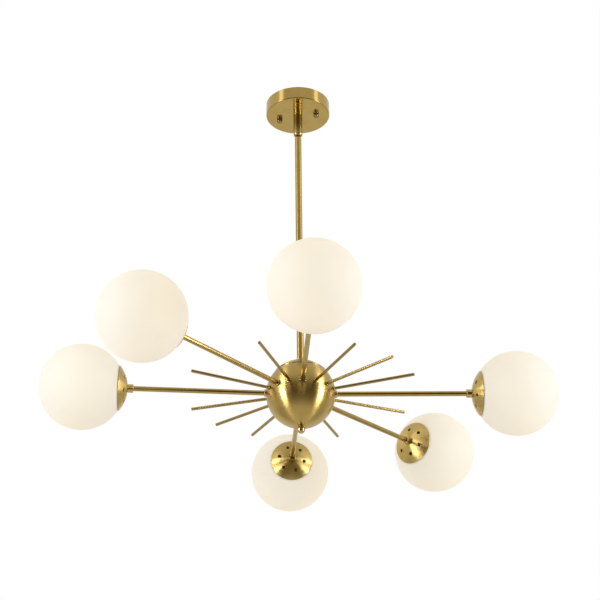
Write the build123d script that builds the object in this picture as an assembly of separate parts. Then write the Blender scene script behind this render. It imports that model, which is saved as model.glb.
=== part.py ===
"""Sunburst chandelier: a ball hub on a downrod, with six globe arms and ten bare spokes.

Millimetres, +Z up. The origin is the centre of the ceiling face of the mounting bar.
Arm pieces are drawn along +Z from the hub's centre and then laid out along their arm.
"""
from build123d import *
import math
import os

# Layout
DROP = 613.0
PLACES = 16
ARM_PLACES = (0, 2, 4, 8, 10, 12)
CUP_TURNS = (0.0, 0.0, -18.7, 0.0, 0.0, 0.0)
RISE = 1.2

# Fits
THREAD_CLEARANCE = 0.05
HOLE_CLEARANCE = 0.1
RUN_CLEARANCE = 0.05
FREE_CLEARANCE = 0.35
NUT_SIDES = 6

# Ceiling bar, studs and canopy
BAR_LENGTH = 108.0
BAR_WIDTH = 20.0
BAR_THICKNESS = 2.0
BAR_TURN = -17.5
SCREW_SPACING = 88.9
SCREW_HOLE = 4.8
WIRE_HOLE = 12.0
WIRE_HOLE_OFFSET = -18.0
STUD_SPACING = 72.0
STUD_DIAMETER = 4.0
CANOPY_DIAMETER = 121.0
CANOPY_HEIGHT = 25.5
CANOPY_WALL = 1.2
CANOPY_EDGE = 2.0
CANOPY_WASHER_DIAMETER = 10.0
CANOPY_WASHER_THICKNESS = 0.8
CANOPY_NUT_DIAMETER = 10.5
CANOPY_NUT_HEIGHT = 6.4
CANOPY_NUT_EDGE = 1.2
CANOPY_NUT_GRIP = 4.4
TERMINAL_LENGTH = 24.0
TERMINAL_WIDTH = 14.0
TERMINAL_HEIGHT = 9.0
TERMINAL_START = 8.0

# Swivel under the canopy
HOUSING_DIAMETER = 17.0
HOUSING_LENGTH = 46.0
HOUSING_WALL = 2.2
HOUSING_ROUND = 3.4
HOUSING_LIP = 1.5
SEAT_WALL = 1.0
SEAT_DROP = 3.4
SEAT_HEIGHT = 4.8
TILT_LIMIT = 15.0
SWIVEL_NECK_DIAMETER = 5.2
SWIVEL_NECK_LENGTH = 8.6
SWIVEL_BORE = 3.2
SWIVEL_PLUG_LENGTH = 14.0
STEM_THREAD = 10.0
STEM_BORE = 6.0
STEM_PLUG_LENGTH = 12.0
STEM_NUT_FLATS = 14.0
STEM_NUT_HEIGHT = 4.0
STEM_END = 3.0

# Downrod and hub
DOWNROD_DIAMETER = 12.5
DOWNROD_WALL = 1.2
DOWNROD_CHAMFER = 1.0
DOWNROD_COLLAR_DIAMETER = 17.0
DOWNROD_COLLAR_HEIGHT = 5.0
DOWNROD_GRIP = 15.0
HUB_DIAMETER = 122.0
HUB_WALL = 1.5
CAP_DIAMETER = 90.0
CAP_PROUD = 0.8
CAP_EDGE = 0.3
CAP_WALL = 3.4
CAP_LIP_HEIGHT = 4.5
SEAM_GROOVE = 0.6
YOKE_LENGTH = 26.0
YOKE_WIDTH = 14.0
YOKE_THICKNESS = 2.0
YOKE_FOOT = 42.0
YOKE_TURN = 135.0
HUB_TERMINAL_WIDTH = 16.0
HUB_TERMINAL_HEIGHT = 14.0
LEAD_DIAMETER = 2.4
SUPPLY_LEAD_DIAMETER = 2.8
SUPPLY_LEAD_TAIL = 9.0
CEILING_LEAD_END = 22.0

# Finial
FINIAL_DIAMETER = 14.0
FINIAL_FLAT = 8.0
FINIAL_THREAD = 5.0
FINIAL_GRIP = 8.0
FINIAL_HOLE_SPARE = 1.5
FINIAL_WASHER_DIAMETER = 10.0
FINIAL_WASHER_THICKNESS = 0.8
FINIAL_NUT_FLATS = 8.0
FINIAL_NUT_HEIGHT = 4.0
FINIAL_STUD_END = 1.0

# Spokes and arms at the hub
SPOKE_DIAMETER = 5.5
SPOKE_REACH = 207.0
SPOKE_EDGE = 0.6
SPOKE_COLLAR_DIAMETER = 8.5
SPOKE_COLLAR_LENGTH = 2.3
SPOKE_NUT_FLATS = 9.0
SPOKE_NUT_HEIGHT = 3.2
ARM_DIAMETER = 9.0
ARM_WALL = 1.0
ARM_COLLAR_DIAMETER = 13.0
ARM_COLLAR_LENGTH = 3.0
ARM_NUT_FLATS = 13.0
ARM_NUT_HEIGHT = 4.0
INNER_END = 4.0
COLLAR_EDGE = 0.5

# Lamp end of an arm
GLOBE_REACH = 382.0
GLOBE_DIAMETER = 150.0
GLOBE_WALL = 2.5
GLOBE_MOUTH = 56.0
GLOBE_MOUTH_EDGE = 0.8
CUP_DIAMETER = 81.0
CUP_DEPTH = 15.0
CUP_WALL = 1.2
CUP_FLAT = 18.0
CUP_GAP = 0.4
VENT_COUNT = 6
VENT_DIAMETER = 5.5
VENT_CIRCLE = 48.0
NECK_DIAMETER = 15.0
NECK_LENGTH = 10.5
NECK_EDGE = 0.8
NECK_GROOVE_LENGTH = 0.9
NECK_GROOVE_DIAMETER = 12.6
NECK_ARM_DEPTH = 5.0
SOCKET_NIPPLE_BORE = 6.4
SPRING_COUNT = 3
SPRING_PHASE = 0.75
SPRING_WIDTH = 6.0
SPRING_THICKNESS = 0.5
SPRING_REACH = 14.0
SPRING_TUCK = 2.2
HOLDER_DIAMETER = 34.0
HOLDER_LENGTH = 44.0
HOLDER_BASE_DIAMETER = 16.0
HOLDER_BASE_LENGTH = 9.0
HOLDER_TAPER = 5.0
HOLDER_EDGE = 1.0
LEAD_HOLE = 3.4
SOCKET_DEPTH = 28.0
SOCKET_SHELL_WALL = 0.6
SOCKET_SHELL_LENGTH = 25.0
CONTACT_DIAMETER = 8.0
CONTACT_THICKNESS = 1.5
BULB_BASE_DIAMETER = 26.4
BULB_BASE_LENGTH = 22.0
BULB_TIP_DIAMETER = 7.0
BULB_SKIRT_DIAMETER = 29.0
BULB_SKIRT_LENGTH = 3.0
BULB_DIAMETER = 45.0
BULB_LENGTH = 52.0


def seat_height(inside_radius, flats):
    """How far from the hub's centre a nut seats, with its corners on the inside of the ball."""
    corner = flats / 2 / math.cos(math.pi / NUT_SIDES)
    return math.sqrt(inside_radius ** 2 - corner ** 2)


def neck_sweep(depth):
    """The radius that the tilted neck needs at a depth below the ball's centre."""
    lean = math.radians(TILT_LIMIT)
    return SWIVEL_NECK_DIAMETER / 2 / math.cos(lean) + depth * math.tan(lean) + FREE_CLEARANCE


# Worked out sizes of the ceiling end, the swivel and the hub
hub_z = -DROP
hub_radius = HUB_DIAMETER / 2
hub_inside = hub_radius - HUB_WALL
cap_radius = hub_radius + CAP_PROUD
cap_inside = cap_radius - CAP_WALL
cap_z = math.sqrt(hub_radius ** 2 - (CAP_DIAMETER / 2) ** 2)
stem_radius = STEM_THREAD / 2
stem_hole = stem_radius + HOLE_CLEARANCE
canopy_face_z = -CANOPY_HEIGHT
canopy_floor_z = canopy_face_z + CANOPY_WALL
stud_radius = STUD_DIAMETER / 2
stud_hole = stud_radius + HOLE_CLEARANCE
nut_top_z = canopy_face_z - CANOPY_WASHER_THICKNESS
stud_end_z = nut_top_z - CANOPY_NUT_GRIP
housing_end_z = canopy_face_z - HOUSING_LENGTH
seat_z = housing_end_z + HOUSING_LIP
ball_z = seat_z + SEAT_DROP
cavity_radius = HOUSING_DIAMETER / 2 - HOUSING_WALL
seat_radius = cavity_radius - RUN_CLEARANCE
socket_radius = seat_radius - SEAT_WALL
ball_radius = socket_radius - RUN_CLEARANCE
lip_mouth = neck_sweep(SEAT_DROP + HOUSING_LIP)
rod_top_z = ball_z - SWIVEL_NECK_LENGTH
rod_end_z = hub_z + cap_radius + DOWNROD_COLLAR_HEIGHT
rod_inside = DOWNROD_DIAMETER / 2 - DOWNROD_WALL
arm_radius = ARM_DIAMETER / 2
arm_hole = arm_radius + HOLE_CLEARANCE
spoke_radius = SPOKE_DIAMETER / 2
spoke_hole = spoke_radius + HOLE_CLEARANCE
finial_stud_radius = FINIAL_THREAD / 2
finial_hole = finial_stud_radius + HOLE_CLEARANCE
finial_washer_z = hub_z - hub_radius
finial_z = finial_washer_z - FINIAL_WASHER_THICKNESS

# Nuts inside the hub seat on the inside of the shell at their corners
arm_nut_seat = seat_height(hub_inside, ARM_NUT_FLATS)
spoke_nut_seat = seat_height(hub_inside, SPOKE_NUT_FLATS)
arm_start = arm_nut_seat - ARM_NUT_HEIGHT - INNER_END
spoke_start = spoke_nut_seat - SPOKE_NUT_HEIGHT - INNER_END
cap_nut_seat = seat_height(cap_inside, STEM_NUT_FLATS)
yoke_top = cap_nut_seat - STEM_NUT_HEIGHT
yoke_inside_top = yoke_top - YOKE_THICKNESS
yoke_inside_foot = -YOKE_FOOT + YOKE_THICKNESS
yoke_leg = YOKE_LENGTH / 2 - YOKE_THICKNESS

# The cup is a shallow dome whose rim stands a small gap off the globe
globe_radius = GLOBE_DIAMETER / 2
globe_inside = globe_radius - GLOBE_WALL
mouth_radius = GLOBE_MOUTH / 2
cup_radius = CUP_DIAMETER / 2
dome_radius = (cup_radius ** 2 + CUP_DEPTH ** 2) / (2 * CUP_DEPTH)
dome_inside = dome_radius - CUP_WALL
rim_inside = math.sqrt(dome_inside ** 2 - (dome_radius - CUP_DEPTH) ** 2)
rim_s = GLOBE_REACH - math.sqrt(globe_radius ** 2 - rim_inside ** 2) - CUP_GAP
dome_s = rim_s - CUP_DEPTH + dome_radius
flat_s = dome_s - math.sqrt(dome_radius ** 2 - (CUP_FLAT / 2) ** 2)
cup_floor_s = flat_s + CUP_WALL
neck_s = flat_s - NECK_LENGTH
arm_end_s = neck_s + NECK_ARM_DEPTH
holder_s = cup_floor_s + SPRING_THICKNESS
holder_end_s = holder_s + HOLDER_LENGTH
socket_floor_s = holder_end_s - SOCKET_DEPTH
contact_s = socket_floor_s + CONTACT_THICKNESS
shell_inside = BULB_BASE_DIAMETER / 2 + FREE_CLEARANCE
shell_radius = shell_inside + SOCKET_SHELL_WALL
shell_bore = shell_radius + THREAD_CLEARANCE
bulb_tip_s = contact_s + FREE_CLEARANCE
bulb_base_s = holder_end_s + FREE_CLEARANCE - BULB_BASE_LENGTH
bulb_skirt_s = holder_end_s + FREE_CLEARANCE
bulb_end_s = bulb_skirt_s + BULB_LENGTH
mouth_s = GLOBE_REACH - math.sqrt(globe_radius ** 2 - mouth_radius ** 2)


def peg(radius, start, end):
    """A round bar along Z between two heights."""
    foot = (Align.CENTER, Align.CENTER, Align.MIN)
    return Pos(0, 0, min(start, end)) * Cylinder(radius, abs(end - start), align=foot)


def tube(radius, inside, start, end):
    """A round tube along Z between two heights."""
    overrun = abs(end - start)
    return peg(radius, start, end) - peg(inside, min(start, end) - overrun, max(start, end) + overrun)


def hex_nut(flats, hole_radius, start, end):
    """A nut with flat sides along Z between two heights."""
    sketch = RegularPolygon(flats / 2, NUT_SIDES, major_radius=False) - Circle(hole_radius)
    return Pos(0, 0, min(start, end)) * extrude(sketch, abs(end - start))


def turned(points):
    """A solid of revolution about Z from corner points of radius and height."""
    return revolve(make_face(Plane.XZ * Polyline(*points, close=True)), Axis.Z)


def round_edges(solid, height, size):
    """Fillet the outer edge of a turned piece at one height."""
    rings = solid.edges().filter_by(GeomType.CIRCLE).filter_by_position(Axis.Z, height, height)
    return fillet(rings.sort_by(SortBy.RADIUS)[-1], size)


def along(place):
    """The frame of one hub place: +Z out along the arm, from the hub's centre."""
    return Pos(0, 0, hub_z) * Rot(0, 0, place * 360 / PLACES) * Rot(0, 90 - RISE, 0)


def group(solids):
    """Several separate solids kept in one node."""
    return Compound(children=[s if isinstance(s, Solid) else s.solid() for s in solids])


def stud_places():
    """The two canopy studs, either side of the centre of the bar."""
    turn = Rot(0, 0, BAR_TURN)
    return [turn * Pos(side * STUD_SPACING / 2, 0, 0) for side in (1, -1)]


def ceiling_bar():
    bar = Pos(0, 0, -BAR_THICKNESS) * extrude(SlotOverall(BAR_LENGTH, BAR_WIDTH), BAR_THICKNESS)
    for side in (1, -1):
        bar -= Pos(side * SCREW_SPACING / 2, 0, 0) * peg(SCREW_HOLE / 2, -2 * BAR_THICKNESS, BAR_THICKNESS)
        bar -= Pos(side * STUD_SPACING / 2, 0, 0) * peg(stud_hole, -2 * BAR_THICKNESS, BAR_THICKNESS)
    bar -= Pos(WIRE_HOLE_OFFSET, 0, 0) * peg(WIRE_HOLE / 2, -2 * BAR_THICKNESS, BAR_THICKNESS)
    return Rot(0, 0, BAR_TURN) * bar


def canopy():
    shell = peg(CANOPY_DIAMETER / 2, canopy_face_z, 0)
    shell = round_edges(shell, canopy_face_z, CANOPY_EDGE)
    hollow = peg(CANOPY_DIAMETER / 2 - CANOPY_WALL, canopy_floor_z, CANOPY_HEIGHT)
    hollow = round_edges(hollow, canopy_floor_z, max(CANOPY_EDGE - CANOPY_WALL, CANOPY_WALL / 2))
    shell -= hollow
    shell -= peg(stem_hole, 2 * canopy_face_z, 0)
    for place in stud_places():
        shell -= place * peg(stud_hole, 2 * canopy_face_z, 0)
    return shell


def canopy_washer():
    return tube(CANOPY_WASHER_DIAMETER / 2, stud_hole, nut_top_z, canopy_face_z)


def canopy_nut():
    nut = peg(CANOPY_NUT_DIAMETER / 2, nut_top_z - CANOPY_NUT_HEIGHT, nut_top_z)
    nut = round_edges(nut, nut_top_z - CANOPY_NUT_HEIGHT, CANOPY_NUT_EDGE)
    return nut - peg(stud_radius + RUN_CLEARANCE, stud_end_z - FREE_CLEARANCE, nut_top_z)


def ceiling_terminal():
    """The block under the bar where the house wires are joined."""
    corner = (Align.MIN, Align.CENTER, Align.MAX)
    block = Box(TERMINAL_LENGTH, TERMINAL_WIDTH, TERMINAL_HEIGHT, align=corner)
    return Rot(0, 0, BAR_TURN) * Pos(TERMINAL_START, 0, -BAR_THICKNESS) * block


def ceiling_lead():
    """The lead from the block down into the swivel, bent over at the top."""
    bend = TERMINAL_START
    side_z = -BAR_THICKNESS - TERMINAL_HEIGHT / 2
    low = (0, 0, canopy_face_z - CEILING_LEAD_END)
    corner = (0, 0, side_z - bend)
    path = Line(low, corner) + TangentArc(corner, (bend, 0, side_z), tangent=(0, 0, 1))
    lead = sweep(Pos(*low) * Circle(SUPPLY_LEAD_DIAMETER / 2), path)
    return Rot(0, 0, BAR_TURN) * lead


def swivel_housing():
    housing = peg(HOUSING_DIAMETER / 2, housing_end_z, canopy_face_z)
    housing = round_edges(housing, housing_end_z, HOUSING_ROUND)
    housing -= peg(cavity_radius, seat_z, 0)
    return housing - peg(lip_mouth, 2 * housing_end_z, 0)


def swivel_nipple():
    """The threaded plug in the top of the housing, with the stem that holds the canopy."""
    plug = peg(cavity_radius - THREAD_CLEARANCE, canopy_face_z - STEM_PLUG_LENGTH, canopy_face_z)
    stem = peg(stem_radius, canopy_face_z, canopy_floor_z + STEM_NUT_HEIGHT + STEM_END)
    return plug + stem - peg(STEM_BORE / 2, 2 * housing_end_z, 0)


def stem_nut():
    hole = stem_radius + THREAD_CLEARANCE
    return hex_nut(STEM_NUT_FLATS, hole, canopy_floor_z, canopy_floor_z + STEM_NUT_HEIGHT)


def swivel_seat():
    """The bush that turns in the housing and cups the ball."""
    seat = peg(seat_radius, seat_z, seat_z + SEAT_HEIGHT)
    seat -= Pos(0, 0, ball_z) * Sphere(socket_radius)
    seat -= peg(socket_radius, ball_z, 0)
    return seat - peg(neck_sweep(SEAT_DROP), 2 * housing_end_z, 0)


def swivel_ball():
    """The ball, its neck and the plug that screws into the downrod."""
    stud = Pos(0, 0, ball_z) * Sphere(ball_radius)
    stud += peg(SWIVEL_NECK_DIAMETER / 2, rod_top_z - SWIVEL_PLUG_LENGTH, ball_z)
    stud += peg(rod_inside - THREAD_CLEARANCE, rod_top_z - SWIVEL_PLUG_LENGTH, rod_top_z)
    return stud - peg(SWIVEL_BORE / 2, hub_z, 0)


def downrod():
    rod = peg(DOWNROD_DIAMETER / 2, rod_end_z, rod_top_z)
    top = rod.edges().filter_by(GeomType.CIRCLE).sort_by(Axis.Z)[-1]
    rod = chamfer(top, DOWNROD_CHAMFER)
    return rod - peg(rod_inside, hub_z, 0)


def downrod_collar():
    top = cap_radius + DOWNROD_COLLAR_HEIGHT
    ring = peg(DOWNROD_COLLAR_DIAMETER / 2, cap_inside, top)
    ring = round_edges(ring, top, COLLAR_EDGE)
    ring -= Sphere(cap_radius)
    return Pos(0, 0, hub_z) * (ring - peg(stem_hole, 0, 2 * hub_radius))


def cap_space():
    """A cone from the hub's centre through the seam, so that the cap's edge is square to the ball."""
    height = 2 * hub_radius
    foot = (Align.CENTER, Align.CENTER, Align.MIN)
    return Cone(0, height * CAP_DIAMETER / 2 / cap_z, height, align=foot)


def seam():
    """The round groove where the cap meets the shell."""
    return Pos(0, 0, cap_z) * Torus(CAP_DIAMETER / 2, SEAM_GROOVE)


def hub_shell():
    shell = Sphere(hub_radius) - Sphere(hub_inside) - cap_space() - seam()
    shell -= peg(finial_hole, -2 * hub_radius, 0)
    shell = Pos(0, 0, hub_z) * shell
    for place in range(PLACES):
        hole = arm_hole if place in ARM_PLACES else spoke_hole
        shell -= along(place) * peg(hole, 0, 2 * hub_radius)
    return shell


def hub_cap():
    """The lid of the ball: a little proud of the shell, with a lip that sits inside it."""
    cap = Sphere(cap_radius) & cap_space()
    cap = fillet(cap.edges().filter_by(lambda edge: edge.is_closed), CAP_EDGE)
    lip = Sphere(hub_inside - HOLE_CLEARANCE) - peg(hub_radius, -hub_radius, cap_z - CAP_LIP_HEIGHT)
    cap = cap + lip - Sphere(cap_inside) - seam()
    return Pos(0, 0, hub_z) * (cap - peg(stem_hole, 0, 2 * hub_radius))


def hub_nipple():
    start = yoke_inside_top - STEM_NUT_HEIGHT - STEM_END
    end = cap_radius + DOWNROD_COLLAR_HEIGHT + DOWNROD_GRIP
    return Pos(0, 0, hub_z) * tube(stem_radius, STEM_BORE / 2, start, end)


def hub_yoke():
    """The strap that ties the cap above to the finial's stud below."""
    height = yoke_top + YOKE_FOOT
    middle = (yoke_top - YOKE_FOOT) / 2
    strap = Pos(0, 0, middle) * Box(YOKE_LENGTH, YOKE_WIDTH, height)
    strap -= Pos(0, 0, middle) * Box(2 * yoke_leg, 2 * YOKE_WIDTH, height - 2 * YOKE_THICKNESS)
    strap -= peg(stem_hole, 0, hub_radius)
    strap -= peg(finial_hole, -hub_radius, 0)
    return Pos(0, 0, hub_z) * Rot(0, 0, YOKE_TURN) * strap


def hub_nuts():
    """Two nuts on the nipple and two on the finial's stud, either side of the yoke."""
    stem = stem_radius + THREAD_CLEARANCE
    stud = finial_stud_radius + THREAD_CLEARANCE
    nuts = [
        hex_nut(STEM_NUT_FLATS, stem, yoke_top, cap_nut_seat),
        hex_nut(STEM_NUT_FLATS, stem, yoke_inside_top - STEM_NUT_HEIGHT, yoke_inside_top),
        hex_nut(FINIAL_NUT_FLATS, stud, yoke_inside_foot, yoke_inside_foot + FINIAL_NUT_HEIGHT),
        hex_nut(FINIAL_NUT_FLATS, stud, -YOKE_FOOT - FINIAL_NUT_HEIGHT, -YOKE_FOOT),
    ]
    return Pos(0, 0, hub_z) * group(nuts)


def terminal_body():
    return Rot(0, 0, YOKE_TURN) * Box(2 * yoke_leg, HUB_TERMINAL_WIDTH, HUB_TERMINAL_HEIGHT)


def hub_terminal():
    """The block between the legs of the yoke where the arm leads meet."""
    return Pos(0, 0, hub_z) * terminal_body()


def hub_wiring():
    """One lead up the downrod and one out along each arm to its lampholder."""
    block = hub_terminal()
    tail = ball_z + SUPPLY_LEAD_TAIL
    leads = [peg(SUPPLY_LEAD_DIAMETER / 2, hub_z + HUB_TERMINAL_HEIGHT / 2, tail)]
    for place in ARM_PLACES:
        leads.append(along(place) * peg(LEAD_DIAMETER / 2, 0, socket_floor_s) - block)
    return group(leads)


def finial_stud():
    top = yoke_inside_foot + FINIAL_NUT_HEIGHT + FINIAL_STUD_END
    return peg(finial_stud_radius, finial_z - FINIAL_GRIP, hub_z + top)


def finial_washer():
    return tube(FINIAL_WASHER_DIAMETER / 2, finial_hole, finial_z, finial_washer_z)


def finial():
    """The ball under the hub, flat where it meets its washer, with a blind threaded hole."""
    radius = FINIAL_DIAMETER / 2
    centre = finial_z - math.sqrt(radius ** 2 - (FINIAL_FLAT / 2) ** 2)
    ball = Pos(0, 0, centre) * Sphere(radius)
    ball -= peg(radius, finial_z, 0)
    hole_end = finial_z - FINIAL_GRIP - FINIAL_HOLE_SPARE
    return ball - peg(finial_stud_radius + RUN_CLEARANCE, hole_end, finial_z)


def hub_collar(diameter, length, hole):
    """A trim ring whose inner face is hollowed to seat on the ball of the hub."""
    ring = peg(diameter / 2, hub_inside, hub_radius + length)
    ring = round_edges(ring, hub_radius + length, COLLAR_EDGE)
    return ring - Sphere(hub_radius) - peg(hole, 0, 2 * hub_radius)


def spoke():
    rod = peg(spoke_radius, spoke_start, SPOKE_REACH)
    return round_edges(rod, SPOKE_REACH, SPOKE_EDGE)


def arm():
    return tube(arm_radius, arm_radius - ARM_WALL, arm_start, arm_end_s)


def neck():
    """The coupling between an arm and its cup, with a thin groove beside the cup."""
    body = peg(NECK_DIAMETER / 2, neck_s, flat_s - NECK_GROOVE_LENGTH)
    body = round_edges(body, neck_s, NECK_EDGE)
    body += peg(NECK_GROOVE_DIAMETER / 2, neck_s + NECK_EDGE, flat_s)
    body -= peg(arm_radius + THREAD_CLEARANCE, 0, arm_end_s)
    return body - peg(stem_radius + THREAD_CLEARANCE, arm_end_s, 2 * flat_s)


def cup():
    """The shallow domed cover over the globe's mouth, with a ring of vents."""
    outside = Pos(0, 0, dome_s) * Sphere(dome_radius) & peg(dome_radius, flat_s, rim_s)
    inside = Pos(0, 0, dome_s) * Sphere(dome_inside) & peg(dome_radius, cup_floor_s, GLOBE_REACH)
    shell = outside - inside - peg(stem_hole, 0, GLOBE_REACH)
    vent = Pos(VENT_CIRCLE / 2, 0, 0) * peg(VENT_DIAMETER / 2, 0, rim_s)
    for number in range(VENT_COUNT):
        shell -= Rot(0, 0, number * 360 / VENT_COUNT) * vent
    return shell


def socket_nipple():
    return tube(stem_radius, SOCKET_NIPPLE_BORE / 2, arm_end_s, holder_s + HOLDER_BASE_LENGTH)


def globe_spring():
    """A sprung washer under the lampholder, with bowed fingers that grip the globe's mouth."""
    half = SPRING_THICKNESS / 2
    grip = mouth_radius - FREE_CLEARANCE - half
    ring_s = cup_floor_s + half
    bend = grip - SPRING_TUCK
    bend_s = dome_s - math.sqrt(dome_inside ** 2 - (bend + half) ** 2) + SPRING_THICKNESS
    ring_radius = HOLDER_BASE_DIAMETER / 2 + SPRING_THICKNESS
    points = [
        (ring_radius - half, ring_s),
        (bend, bend_s),
        (grip, mouth_s + SPRING_TUCK),
        (bend, mouth_s + SPRING_REACH),
    ]
    strip = trace(Polyline(*points), SPRING_THICKNESS)
    finger = extrude(Plane.XZ * strip, SPRING_WIDTH / 2, both=True)
    spring = tube(ring_radius, stem_hole, cup_floor_s, holder_s)
    for number in range(SPRING_COUNT):
        spring += Rot(0, 0, (number + SPRING_PHASE) * 360 / SPRING_COUNT) * finger
    return spring


def lampholder():
    """The insulating body that holds the threaded shell for the bulb."""
    base = HOLDER_BASE_DIAMETER / 2
    side = HOLDER_DIAMETER / 2
    body = turned([
        (0, holder_s),
        (base, holder_s),
        (base, holder_s + HOLDER_BASE_LENGTH),
        (side, holder_s + HOLDER_BASE_LENGTH + HOLDER_TAPER),
        (side, holder_end_s),
        (0, holder_end_s),
    ])
    body = round_edges(body, holder_end_s, HOLDER_EDGE)
    body -= peg(shell_bore, socket_floor_s, 2 * GLOBE_REACH)
    body -= peg(LEAD_HOLE / 2, 0, GLOBE_REACH)
    return body - peg(stem_radius + THREAD_CLEARANCE, 0, holder_s + HOLDER_BASE_LENGTH)


def socket_contacts():
    """The threaded shell round the bulb's base and the tab under its tip."""
    shell = tube(shell_radius, shell_inside, socket_floor_s, socket_floor_s + SOCKET_SHELL_LENGTH)
    tab = peg(CONTACT_DIAMETER / 2, socket_floor_s, contact_s)
    return [shell, tab]


def bulb():
    """A small round bulb with a screw base."""
    base = BULB_BASE_DIAMETER / 2
    skirt = BULB_SKIRT_DIAMETER / 2
    radius = BULB_DIAMETER / 2
    centre_s = bulb_end_s - radius
    shape = turned([
        (0, bulb_tip_s),
        (BULB_TIP_DIAMETER / 2, bulb_tip_s),
        (base, bulb_base_s),
        (base, bulb_skirt_s),
        (skirt, bulb_skirt_s + BULB_SKIRT_LENGTH),
        (radius, centre_s),
        (0, centre_s),
    ])
    return shape + Pos(0, 0, centre_s) * Sphere(radius)


def globe():
    """An opal glass ball with a ground round mouth towards the cup."""
    ball = Sphere(globe_radius) - Sphere(globe_inside)
    ball -= peg(mouth_radius, -2 * globe_radius, 0)
    mouth = ball.edges().filter_by(GeomType.CIRCLE).sort_by(Axis.Z)[:2]
    ball = chamfer(mouth, GLOBE_MOUTH_EDGE)
    return Pos(0, 0, GLOBE_REACH) * ball


def around_hub():
    """The pieces repeated round the hub, by node name."""
    spokes = [place for place in range(PLACES) if place not in ARM_PLACES]
    arm_collar = hub_collar(ARM_COLLAR_DIAMETER, ARM_COLLAR_LENGTH, arm_hole)
    spoke_collar = hub_collar(SPOKE_COLLAR_DIAMETER, SPOKE_COLLAR_LENGTH, spoke_hole)
    arm_nut_hole = arm_radius + THREAD_CLEARANCE
    spoke_nut_hole = spoke_radius + THREAD_CLEARANCE
    arm_nut_back = arm_nut_seat - ARM_NUT_HEIGHT
    arm_nut = hex_nut(ARM_NUT_FLATS, arm_nut_hole, arm_nut_back, arm_nut_seat)
    spoke_nut_back = spoke_nut_seat - SPOKE_NUT_HEIGHT
    spoke_nut = hex_nut(SPOKE_NUT_FLATS, spoke_nut_hole, spoke_nut_back, spoke_nut_seat)
    rod = spoke()
    collars = [along(place) * arm_collar for place in ARM_PLACES]
    collars += [along(place) * spoke_collar for place in spokes]
    return {
        "hub_collars": group(collars),
        "arm_nuts": group([along(place) * arm_nut for place in ARM_PLACES]),
        "spoke_nuts": group([along(place) * spoke_nut for place in spokes]),
        "spokes": group([along(place) * rod for place in spokes]),
    }


def lamp_arms():
    """The six arms with their lamps, by node name."""
    nodes = {}
    singles = {"arm": arm(), "cup": cup(), "bulb": bulb(), "globe": globe()}
    shared = {
        "neck_couplings": [neck()],
        "socket_nipples": [socket_nipple()],
        "globe_springs": [globe_spring()],
        "lampholders": [lampholder()],
        "socket_contacts": socket_contacts(),
    }
    for number, (place, turn) in enumerate(zip(ARM_PLACES, CUP_TURNS), 1):
        frame = along(place) * Rot(0, 0, turn)
        for name, solid in singles.items():
            nodes[f"{name}_{number}"] = frame * solid
    for name, solids in shared.items():
        frames = [along(place) * Rot(0, 0, turn) for place, turn in zip(ARM_PLACES, CUP_TURNS)]
        nodes[name] = group([frame * solid for frame in frames for solid in solids])
    return nodes


def canopy_fixings():
    """The two studs, washers and cap nuts under the canopy, by node name."""
    stud = peg(stud_radius, stud_end_z, 0)
    nodes = {"canopy_studs": group([place * stud for place in stud_places()])}
    for number, place in enumerate(stud_places(), 1):
        nodes[f"canopy_washer_{number}"] = place * canopy_washer()
        nodes[f"canopy_nut_{number}"] = place * canopy_nut()
    return nodes


def assembly():
    """Every node of the chandelier by name."""
    pieces = (
        ceiling_bar,
        canopy,
        ceiling_terminal,
        ceiling_lead,
        swivel_housing,
        swivel_nipple,
        stem_nut,
        swivel_seat,
        swivel_ball,
        downrod,
        downrod_collar,
        hub_shell,
        hub_cap,
        hub_nipple,
        hub_yoke,
        hub_nuts,
        hub_terminal,
        hub_wiring,
        finial_stud,
        finial_washer,
        finial,
    )
    nodes = {piece.__name__: piece() for piece in pieces}
    nodes.update(canopy_fixings())
    nodes.update(around_hub())
    nodes.update(lamp_arms())
    return nodes


os.makedirs("parts", exist_ok=True)
for node_name, shape in assembly().items():
    export_step(shape, f"parts/{node_name}.step")
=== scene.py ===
"""Sunburst chandelier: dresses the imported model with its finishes, lamp pieces and studio.

Metres, +Z up. The origin is the centre of the ceiling face of the mounting bar.
Arm pieces are drawn along +Z from the hub's centre and then laid out along their arm.
"""
import math
from functools import partial
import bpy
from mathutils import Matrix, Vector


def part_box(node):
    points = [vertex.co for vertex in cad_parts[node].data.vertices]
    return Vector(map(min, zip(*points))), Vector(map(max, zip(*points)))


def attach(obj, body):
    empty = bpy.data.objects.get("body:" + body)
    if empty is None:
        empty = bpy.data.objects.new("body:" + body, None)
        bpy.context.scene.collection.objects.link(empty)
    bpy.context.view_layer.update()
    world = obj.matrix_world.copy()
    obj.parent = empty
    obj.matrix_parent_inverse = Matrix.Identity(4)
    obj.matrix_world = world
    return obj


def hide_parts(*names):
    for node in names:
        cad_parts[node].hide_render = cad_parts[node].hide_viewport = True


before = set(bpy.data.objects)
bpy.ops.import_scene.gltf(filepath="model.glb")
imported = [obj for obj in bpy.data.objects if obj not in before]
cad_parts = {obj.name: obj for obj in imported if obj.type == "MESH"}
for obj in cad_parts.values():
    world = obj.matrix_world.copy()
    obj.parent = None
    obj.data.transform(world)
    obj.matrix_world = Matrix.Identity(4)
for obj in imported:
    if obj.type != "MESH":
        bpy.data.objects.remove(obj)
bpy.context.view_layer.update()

from types import SimpleNamespace

import bmesh
import bpy
from mathutils import Matrix, Vector

bl_info = {
    "name": "Sunburst chandelier",
    "version": (1, 0, 0),
    "blender": (4, 5, 0),
    "location": "View3D > Sidebar > Chandelier",
    "description": "Makes the looks of a six-globe sunburst chandelier round its packed model",
    "category": "Object",
}

PLACES = 16
ARM_PLACES = (0, 2, 4, 8, 10, 12)
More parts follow.
